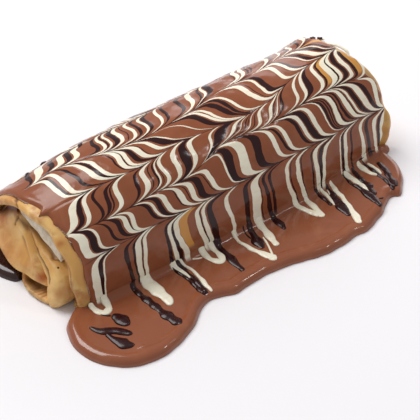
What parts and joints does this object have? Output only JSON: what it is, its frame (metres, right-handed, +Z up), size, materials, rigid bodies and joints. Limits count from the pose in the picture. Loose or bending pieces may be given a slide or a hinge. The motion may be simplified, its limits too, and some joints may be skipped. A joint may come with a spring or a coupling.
{
  "type": "crepe roll cake",
  "caption": "Long roll of folded crepes and cream, lying flat under a poured chocolate glaze that is marbled across its length and pooled round its foot.",
  "frame": {"origin": "on the flat underside that rests on the plate, below the middle of the roll", "axes": "+X along the roll towards its plain end, away from the end with the folded flap; -Y towards the side where the glaze pools widest; +Z up"},
  "size_m": [0.249, 0.1495, 0.0621],
  "materials": {
    "glaze": "glossy chocolate glaze, marbled light and dark",
    "crepe": "soft baked crepe, golden with browner patches",
    "crepe_pale": "soft pale crepe",
    "cream": "smooth cream"
  },
  "bodies": {
    "root": {"glaze": "glaze", "crepe_wrap": "crepe", "crepe_flap": "crepe", "crepe_band": "crepe_pale", "crepe_pocket": "crepe_pale", "cream_filling": "cream"}
  },
  "joints": []
}
